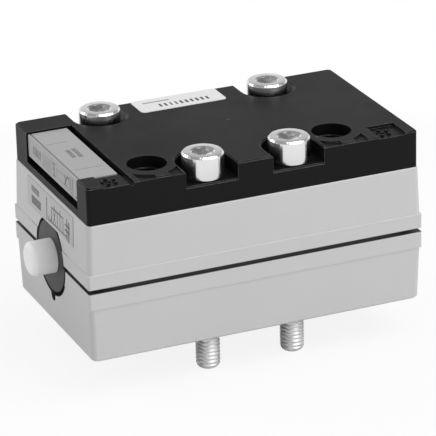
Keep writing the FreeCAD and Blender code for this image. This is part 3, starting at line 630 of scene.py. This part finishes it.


# edge is a tone painted on rounded edges as their highlight
FINISH = {
    # the housing's gap tone is painted shade in the slit and the end opening
    "housing": moulded_plastic(
        "housing_plastic", 0.56, 0.59, (0.40, 0.48), 5200.0, 0.0022 * MM, edge=0.565, gap_shade_tone=0.06,
    ),
    "cover": moulded_plastic(
        "cover_plastic", 0.0042, 0.0055, (0.40, 0.50), 3600.0, 0.004 * MM, edge=0.075, dust=0.015,
        polish=1.0, Specular_IOR_Level=0.13, Coat_Roughness=0.2, Coat_IOR=1.9,
    ),
    "carrier": moulded_plastic("carrier_plastic", 0.355, 0.375, (0.35, 0.45), 6000.0, 0.0015 * MM),
    "sticker": moulded_plastic("white_film", 0.74, 0.77, (0.28, 0.36), 2500.0, 0.0008 * MM),
    "end_sticker": moulded_plastic("pale_film", 0.44, 0.47, (0.30, 0.38), 2500.0, 0.0008 * MM),
    "bright_steel": worked_metal("plated_steel", 0.72, 0.84, (0.16, 0.28), 5000.0, 0.0006 * MM, 0.25),
    "dark_steel": worked_metal("blackened_steel", 0.015, 0.03, (0.35, 0.5), 5000.0, 0.001 * MM),
    "spring_steel": worked_metal("spring_wire", 0.45, 0.6, (0.2, 0.35), 9000.0, 0.001 * MM),
    "sleeve_metal": worked_metal("turned_aluminium", 0.62, 0.75, (0.22, 0.36), 7000.0, 0.0012 * MM),
    "spool_metal": worked_metal("hard_coated_aluminium", 0.4, 0.5, (0.3, 0.42), 7000.0, 0.001 * MM),
    "seal": moulded_plastic("nitrile_rubber", 0.010, 0.016, (0.6, 0.75), 3000.0, 0.004 * MM),
    "plug": moulded_plastic(
        "plug_plastic", 0.030, 0.036, (0.38, 0.46), 4200.0, 0.003 * MM, edge=0.02,
        Specular_IOR_Level=0.25,
    ),
    "button": moulded_plastic(
        "button_plastic", 0.96, 0.975, (0.36, 0.42), 6000.0, 0.0015 * MM,
        Subsurface_Weight=0.2, Subsurface_Scale=0.0003, Subsurface_Radius=(1.0, 1.0, 1.0),
    ),
}
INK = moulded_plastic("print_ink", 0.055, 0.08, (0.4, 0.5), 5000.0, 0.0005 * MM)
PALE_INK = moulded_plastic("pale_print_ink", 0.24, 0.28, (0.4, 0.5), 5000.0, 0.0005 * MM)

for part in frame["record"]["subparts"]:
    data = NODES[part["node"]].data
    data.materials.clear()
    data.materials.append(FINISH[part["material_slot"]])


# softened shells, cover, plug and carrier


def near_outside(edge, lo, hi, reach):
    """Whether both ends of an edge lie near one of the box's four upright walls."""
    ends = [v.co for v in edge.verts]
    return all(
        min(v.x - lo.x, hi.x - v.x) < reach or min(v.y - lo.y, hi.y - v.y) < reach for v in ends
    )


def housing_edge(edge):
    """The outer edges of a shell, the end opening's rim among them."""
    return near_outside(edge, LOWER_LO, LOWER_HI, SHELL_REACH)


def cover_edge(edge):
    """The cover's edges that can be seen: beside faces that look up, and on the outer walls."""
    looks_up = any(face.normal.z > LOOKS_UP for face in edge.link_faces)
    return looks_up or near_outside(edge, COVER_LO, COVER_HI, COVER_REACH)


def plug_edge(edge):
    """The plug's edges at its outer face."""
    return all(v.co.x < PLUG_LO.x + PLUG_FACE_REACH for v in edge.verts)


def carrier_edge(edge):
    """Every edge of the carrier but the groove at its fold."""
    slopes = [face.normal.z for face in edge.link_faces]
    return all(slope > NEARLY_UP or slope < NEARLY_UPRIGHT for slope in slopes)


BODY = "valve_body"
for label, width, chosen, slot in (
    ("lower_housing", HOUSING_ROUND, housing_edge, "housing"),
    ("upper_housing", HOUSING_ROUND, housing_edge, "housing"),
    ("cover", COVER_ROUND, cover_edge, "cover"),
    ("end_plug", PLUG_ROUND, plug_edge, "plug"),
    ("label_insert", CARRIER_ROUND, carrier_edge, "carrier"),
):
    mesh = softened(label, width, chosen)
    weighted(shown(label + "_softened", mesh, BODY, FINISH[slot], [label]))


# screws


def mounting_places():
    """The screws' axes, from the two stated patterns."""
    places = []
    for mount in (MOUNTS["front_screws"], MOUNTS["rear_screws"]):
        half = mount["dims"]["spacing_x_mm"] * MM / 2
        x, y, _ = mount["pos_m"]
        places += [(x - half, y), (x + half, y)]
    return places


places = mounting_places()
head_r = SCREWS_HI.x - max(x for x, _ in places) - HEAD_FIT
length = SCREWS_HI.z - SCREW_HEAD_HEIGHT - SCREWS_LO.z
for (x, y), where in zip(places, ("front_left", "front_right", "rear_left", "rear_right")):
    label = "mounting_screw_" + where
    mesh = socket_screw(
        label, (x, y, SCREWS_HI.z), 1, length, head_r, SCREW_HEAD_HEIGHT, SCREW_CHAMFER,
        SCREW_ACROSS, SCREW_SOCKET, SCREW_SHANK_R, SCREW_THREAD, SCREW_PITCH,
    )
    shown(label, mesh, BODY, FINISH["bright_steel"], ["mounting_screws"])


def access_axis(side):
    """The axis of the tie screw under an access hole, from the hole's opening."""
    low, high = OPENINGS["access_" + side]["box_m"]
    return (low[0] + high[0]) / 2, (low[1] + high[1]) / 2


left_axis, right_axis = access_axis("left"), access_axis("right")
rear_axis = (0.0, MOUNTS["rear_screws"]["pos_m"][1])
tie_head_r = TIES_HI.x - right_axis[0]
for label, place, way in (
    ("tie_screw_left", (*left_axis, TIES_HI.z), 1),
    ("tie_screw_right", (*right_axis, TIES_HI.z), 1),
    ("tie_screw_rear", (*rear_axis, TIES_LO.z), -1),
):
    mesh = socket_screw(
        label, place, way, TIE_LENGTH, tie_head_r, TIE_HEAD_HEIGHT, TIE_CHAMFER,
        TIE_ACROSS, TIE_SOCKET, TIE_SHANK_R, TIE_THREAD, TIE_PITCH,
    )
    shown(label, mesh, BODY, FINISH["dark_steel"], ["tie_screws"])


# springs


def squeezed_spring(label, slot):
    """A copy of a spring's own surface as a piece on the valve body, in place of the imported spring."""
    piece = shown(label + "_coil", NODES[label].data.copy(), BODY, FINISH[slot], [label])
    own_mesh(piece)


squeezed_spring("button_spring", "spring_steel")
squeezed_spring("return_spring", "spring_steel")


# print and moulded marks, laid out in mm as strokes: u0, v0, u1, v1 and width


def bars(u, v, pitch, widths, height):
    """A row of short strokes across a line, as generic print: each a segment along v."""
    return [(u + i * pitch, v, u + i * pitch, v + height, w) for i, w in enumerate(widths)]


def rectangle(u0, v0, u1, v1, width):
    """The outline of a rectangle as four strokes."""
    corners = [(u0, v0), (u1, v0), (u1, v1), (u0, v1)]
    return [(*start, *end, width) for start, end in zip(corners, corners[1:] + corners[:1])]


def printed(name, segments, origin, axes, material=None):
    """Strokes in ink on a face."""
    return shown(name, strokes(name, segments, PRINT_LIFT, origin, *axes), BODY, material or INK)


def white_label_print():
    """A thin grey line and a row of dark bars on the white label at the cover's back."""
    middle = (WHITE_LO.y + WHITE_HI.y) / 2 / MM
    face = (0, 0, WHITE_HI.z)
    rows = [(-8.0, middle + 1.4, -2.4, middle + 1.4, 0.45)]
    printed("white_label_line", rows, face, FACING_UP, PALE_INK)
    widths = (0.5, 0.5, 0.35, 0.35, 0.5, 0.55, 0.5, 0.55, 0.5, 0.5)
    printed("white_label_bars", bars(-5.1, middle - 1.75, 1.12, widths, 1.6), face, FACING_UP)


def carrier_top_print():
    """Two thin lines across the carrier's top and two rows of bars between them."""
    x0, x1 = CARRIER_LO.x / MM + 1.3, CARRIER_HI.x / MM - 1.2
    face = (0, 0, CARRIER_HI.z)
    rows = [(x0, 5.8, x1 - 1.5, 5.8, 0.22), (x0, -9.0, x1 + 0.2, -9.0, 0.22)]
    printed("carrier_top_lines", rows, face, FACING_UP, PALE_INK)
    rows = []
    for x, start, count in ((-30.7, 1.2, 7), (-29.3, 1.5, 8)):
        rows += [(x, start - 0.62 * i, x + 0.85, start - 0.62 * i, 0.3) for i in range(count)]
    printed("carrier_top_bars", rows, face, FACING_UP)


def carrier_leg_print():
    """Bars, dividers, a small diagram and two fields on the carrier's leg, seen from the end."""
    low, high = CARRIER_LO.z / MM, CARRIER_HI.z / MM
    middle = (low + high) / 2
    face = (CARRIER_LO.x, 0, 0)
    slanted_bars = [
        (u, middle - 0.9, u + 0.25, middle + 0.9, 0.3) for u in (-10.0, -9.2, -8.5, -7.8, -7.0, -6.3)
    ]
    dividers = [(u, low + 0.3, u, high - 0.7, 0.18) for u in (10.5, 11.5)]
    dot = [(13.0, low + 0.7, 13.5, low + 0.7, 0.45)]
    post = [
        (0.5, middle + 1.2, 2.3, middle + 1.2, 0.2), (1.4, middle + 1.2, 1.4, middle - 1.3, 0.2),
        (0.6, middle - 1.3, 2.2, middle - 1.3, 0.2), (0.9, middle, 1.9, middle, 0.2),
    ]
    cross = [
        (7.0, middle - 1.2, 8.6, middle + 1.0, 0.22), (8.6, middle + 1.0, 9.6, middle + 1.0, 0.3),
        (7.2, middle + 1.0, 8.0, middle - 1.2, 0.22),
    ]
    printed("carrier_leg_marks", slanted_bars + dividers + dot + post + cross, face, FACING_LEFT)
    rows = rectangle(2.9, low + 1.1, 9.9, high - 1.6, 0.16)
    rows += rectangle(-4.7, low + 0.9, -0.2, high - 1.3, 0.16)
    rows += [(-4.4 + 0.55 * i, low + 1.2, -4.0 + 0.55 * i, high - 1.7, 0.16) for i in range(7)]
    printed("carrier_leg_frames", rows, face, FACING_LEFT, PALE_INK)


def end_label_print():
    """The generic symbol of a valve, a divider and two rows of bars on the leaning end label."""
    low, high = END_LO.z / MM, END_HI.z / MM
    base, top = low + 0.9, high - 2.0
    divider = [(-1.7, low + 0.5, -1.7, high - 0.9, 0.34)]
    upper_row = bars(-9.9, high - 2.5, 0.62, [0.36] * 7, 1.3)
    lower_row = bars(-9.9, high - 5.0, 0.66, [0.5] * 8, 1.7)
    squares = [(-0.9, base, 9.6, base, 0.26), (0.9, top, 7.2, top, 0.26)]
    squares += [(u, base, u, top, 0.24) for u in (1.0, 4.1, 7.2)]
    arrows = [(1.9, base, 3.2, top, 0.2), (3.2, base, 1.9, top, 0.2), (5.6, base, 5.6, top, 0.24)]
    ports = [(u, top, u, top + 0.9, 0.22) for u in (2.5, 5.6)]
    spring = [(-0.9 + 0.6 * i, base, -0.3 + 0.6 * i, base + 0.9 * (1 - i % 2), 0.2) for i in range(3)]
    pilot = [
        (9.3, base - 0.6, 9.3, top + 0.6, 0.4), (10.3, base - 0.8, 10.3, top + 0.2, 0.5),
        (8.2, base + 1.2, 10.8, base + 1.2, 0.3), (8.2, base + 2.3, 10.8, base + 2.3, 0.3),
    ]
    lean = Vector((END_HI.x - END_LO.x - LABEL_FILM, 0, END_HI.z - END_LO.z)).normalized()
    foot = Vector((END_LO.x, 0, END_LO.z)) - lean * END_LO.z / lean.z
    rows = divider + upper_row + lower_row + squares + arrows + ports + spring + pilot
    printed("end_label_print", rows, tuple(foot), (FACING_LEFT[0], tuple(lean / lean.z)))


def moulded_marks():
    """Plain raised dots in the two corner pockets."""
    face = (0, 0, COVER_HI.z - POCKET_DEPTH)
    dots = []
    for x0, y0 in ((-28.9, -17.2), (27.9, -17.3)):
        turn = np.arange(5) * 2 * np.pi / 5 + 0.5
        for u, v in np.stack([x0 + 1.35 * np.cos(turn), y0 + 1.35 * np.sin(turn)], -1):
            dots.append((u - 0.28, v, u + 0.28, v, 0.56))
        dots.append((x0 - 0.25, y0, x0 + 0.25, y0, 0.5))
    mesh = strokes("pocket_marks", dots, MARK_LIFT, face, *FACING_UP)
    shown("pocket_marks", mesh, BODY, FINISH["cover"])


for draw in (white_label_print, carrier_top_print, carrier_leg_print, end_label_print, moulded_marks):
    draw()


# studio


def softbox(name, direction, distance, size, radiance):
    """A square lamp that faces the valve. Its power is radiance times area times pi."""
    lamp = bpy.data.lights.new(name, "AREA")
    lamp.shape = "SQUARE"
    lamp.size = size
    lamp.energy = radiance * size * size * np.pi
    holder = bpy.data.objects.new(name, lamp)
    aim = CAMERA_TARGET
    holder.location = aim + Vector(direction).normalized() * distance
    holder.rotation_euler = (aim - holder.location).to_track_quat("-Z", "Y").to_euler()
    holder.visible_camera = False
    bpy.context.scene.collection.objects.link(holder)


def seen_directly(tree):
    """1 for camera, glossy and transmission rays."""
    path = tree.nodes.new("ShaderNodeLightPath")
    total = path.outputs["Is Camera Ray"]
    for label in ("Is Glossy Ray", "Is Transmission Ray"):
        either = node(tree, "ShaderNodeMath", {"operation": "MAXIMUM"})
        tree.links.new(total, either.inputs[0])
        tree.links.new(path.outputs[label], either.inputs[1])
        total = either.outputs["Value"]
    return total


def studio_world():
    """White for what is seen or mirrored, and a softer grey that lights the valve."""
    world = bpy.data.worlds.new("studio")
    bpy.context.scene.world = world
    world.use_nodes = True
    tree = world.node_tree
    tree.nodes.clear()
    fill = node(tree, "ShaderNodeBackground", Strength=WORLD_FILL)
    white = node(tree, "ShaderNodeBackground", Strength=1.0)
    for background in (fill, white):
        background.inputs["Color"].default_value = grey(1.0)
    mix = tree.nodes.new("ShaderNodeMixShader")
    out = tree.nodes.new("ShaderNodeOutputWorld")
    tree.links.new(seen_directly(tree), mix.inputs["Fac"])
    tree.links.new(fill.outputs["Background"], mix.inputs[1])
    tree.links.new(white.outputs["Background"], mix.inputs[2])
    tree.links.new(mix.outputs["Shader"], out.inputs["Surface"])


def stage_square(name, z, looks_up, material):
    """A large level square of the studio, with its front up or down."""
    corners = [(-1, -1), (1, -1), (1, 1), (-1, 1)] if looks_up else [(-1, -1), (-1, 1), (1, 1), (1, -1)]
    mesh = bpy.data.meshes.new(name)
    mesh.from_pydata([(STAGE_HALF * x, STAGE_HALF * y, z) for x, y in corners], [], [(0, 1, 2, 3)])
    mesh.materials.append(material)
    square = bpy.data.objects.new(name, mesh)
    bpy.context.scene.collection.objects.link(square)
    return square


def studio_floor():
    """A pale floor at the screws' tips. Near the valve it takes shadow, and further off it is white."""
    material, tree = empty_material("pale_floor")
    matt = node(tree, "ShaderNodeBsdfDiffuse", Color=grey(FLOOR_TONE))
    white = node(tree, "ShaderNodeEmission", Color=grey(1.0), Strength=1.0)
    path = tree.nodes.new("ShaderNodeLightPath")
    lift = node(tree, "ShaderNodeMath", {"operation": "MULTIPLY"})
    lift.inputs[1].default_value = FLOOR_LIFT
    tree.links.new(path.outputs["Is Camera Ray"], lift.inputs[0])
    place = tree.nodes.new("ShaderNodeTexCoord")
    reach = node(tree, "ShaderNodeVectorMath", {"operation": "LENGTH"})
    far = node(
        tree, "ShaderNodeMapRange", {"interpolation_type": "SMOOTHSTEP"},
        From_Min=FLOOR_WHITE[0], From_Max=FLOOR_WHITE[1],
    )
    gate = node(tree, "ShaderNodeMath", {"operation": "MULTIPLY"})
    share = node(tree, "ShaderNodeMath", {"operation": "MAXIMUM"})
    tree.links.new(place.outputs["Object"], reach.inputs[0])
    tree.links.new(reach.outputs["Value"], far.inputs["Value"])
    tree.links.new(far.outputs["Result"], gate.inputs[0])
    tree.links.new(seen_directly(tree), gate.inputs[1])
    tree.links.new(gate.outputs["Value"], share.inputs[0])
    tree.links.new(lift.outputs["Value"], share.inputs[1])
    mix = tree.nodes.new("ShaderNodeMixShader")
    out = tree.nodes.new("ShaderNodeOutputMaterial")
    tree.links.new(share.outputs["Value"], mix.inputs["Fac"])
    tree.links.new(matt.outputs["BSDF"], mix.inputs[1])
    tree.links.new(white.outputs["Emission"], mix.inputs[2])
    tree.links.new(mix.outputs["Shader"], out.inputs["Surface"])
    stage_square("floor", SCREWS_LO.z - FLOOR_GAP, True, material)


def overhead_card():
    """A pale grey card high above the lamps, seen only in reflections, so that flat metal isn't white."""
    material, tree = empty_material("grey_card")
    glow = node(tree, "ShaderNodeEmission", Color=grey(1.0), Strength=CARD_TONE)
    out = tree.nodes.new("ShaderNodeOutputMaterial")
    tree.links.new(glow.outputs["Emission"], out.inputs["Surface"])
    card = stage_square("overhead_card", CARD_HEIGHT, False, material)
    card.visible_camera = False
    card.visible_diffuse = False
    card.visible_shadow = False
    card.visible_transmission = False


def photo_camera():
    """The camera at the photograph's viewing angle."""
    a, e, roll = CAMERA_AZIMUTH, CAMERA_ELEVATION, CAMERA_ROLL
    back = Vector((sin(a) * cos(e), -cos(a) * cos(e), sin(e)))
    right = (-back).cross(Vector((0, 0, 1))).normalized()
    up = right.cross(-back)
    right, up = right * cos(roll) + up * sin(roll), up * cos(roll) - right * sin(roll)
    lens = bpy.data.cameras.new("camera")
    lens.lens = CAMERA_LENS
    lens.sensor_width = SENSOR_WIDTH
    lens.clip_start, lens.clip_end = CAMERA_CLIP
    camera = bpy.data.objects.new("camera", lens)
    turn = Matrix((right, up, back)).transposed().to_4x4()
    camera.matrix_world = Matrix.Translation(CAMERA_TARGET + back * CAMERA_DISTANCE) @ turn
    bpy.context.scene.collection.objects.link(camera)
    bpy.context.scene.camera = camera


studio_world()
studio_floor()
overhead_card()
for box in SOFTBOXES:
    softbox(*box)
photo_camera()
bpy.context.scene.view_settings.view_transform = "Standard"
